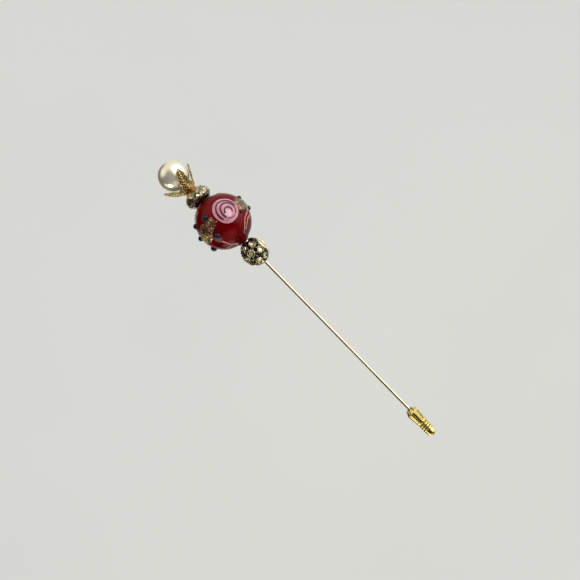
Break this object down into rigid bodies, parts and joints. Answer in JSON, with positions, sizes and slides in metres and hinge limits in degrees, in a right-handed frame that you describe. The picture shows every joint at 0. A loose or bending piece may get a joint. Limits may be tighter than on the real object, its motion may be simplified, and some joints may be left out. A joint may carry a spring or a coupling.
{
  "type": "hat pin",
  "caption": "Hat pin with a pearl, petal cap, faceted rondelle, lampwork glass bead and flower bead on a gold wire, and a push-on clutch over the point.",
  "frame": {"origin": "on the pin's axis, where the bare wire leaves the lowest bead", "axes": "+Z along the pin towards the head, -Y the side with the first rose"},
  "size_m": [0.0194, 0.0189, 0.1243],
  "materials": {
    "champagne_gold_wire": "polished pale gold plate",
    "antique_gold": "pale gold plate, dark in the recesses",
    "stamped_gold": "yellow gold plate, embossed",
    "bright_gold": "bright yellow gold plate, polished",
    "ruby_glass": "translucent, fire-polished",
    "pink_glass": "opaque and translucent pink swirls, fire-polished",
    "goldstone": "glitter glass",
    "dark_glass": "opaque, fire-polished",
    "coated_crystal": "faceted, metallic coat",
    "pearl_coat": "nacre coat, glossy",
    "cured_glue": "clear, slightly yellow",
    "nylon": "natural nylon"
  },
  "bodies": {
    "pin": {"shank": "champagne_gold_wire", "flower_bead_front": "antique_gold", "flower_bead_back": "antique_gold", "flower_bead_band": "antique_gold", "ruby_glass_core": "ruby_glass", "rose_1": "pink_glass", "rose_2": "pink_glass", "rose_3": "pink_glass", "goldstone_patch_1": "goldstone", "goldstone_patch_2": "goldstone", "goldstone_patch_3": "goldstone", "glass_dots": "dark_glass", "goldstone_stringers": "goldstone", "crystal_rondelle": "coated_crystal", "petal_cap": "stamped_gold", "pearl": "pearl_coat", "bead_glue": "cured_glue"},
    "clutch_sleeve": {"clutch_grip": "nylon"},
    "clutch": {"clutch_barrel": "bright_gold", "clutch_collar": "bright_gold", "clutch_end_cap": "bright_gold"}
  },
  "joints": [
    {"name": "clutch_slide", "type": "slide", "parent": "pin", "child": "clutch_sleeve", "axis": [0, 0, -1], "range_m": [0, 0.03]},
    {"name": "clutch_spin", "type": "hinge", "parent": "clutch_sleeve", "child": "clutch", "pos_m": [0, 0, -0.0668], "axis": [0, 0, 1], "continuous": true}
  ]
}
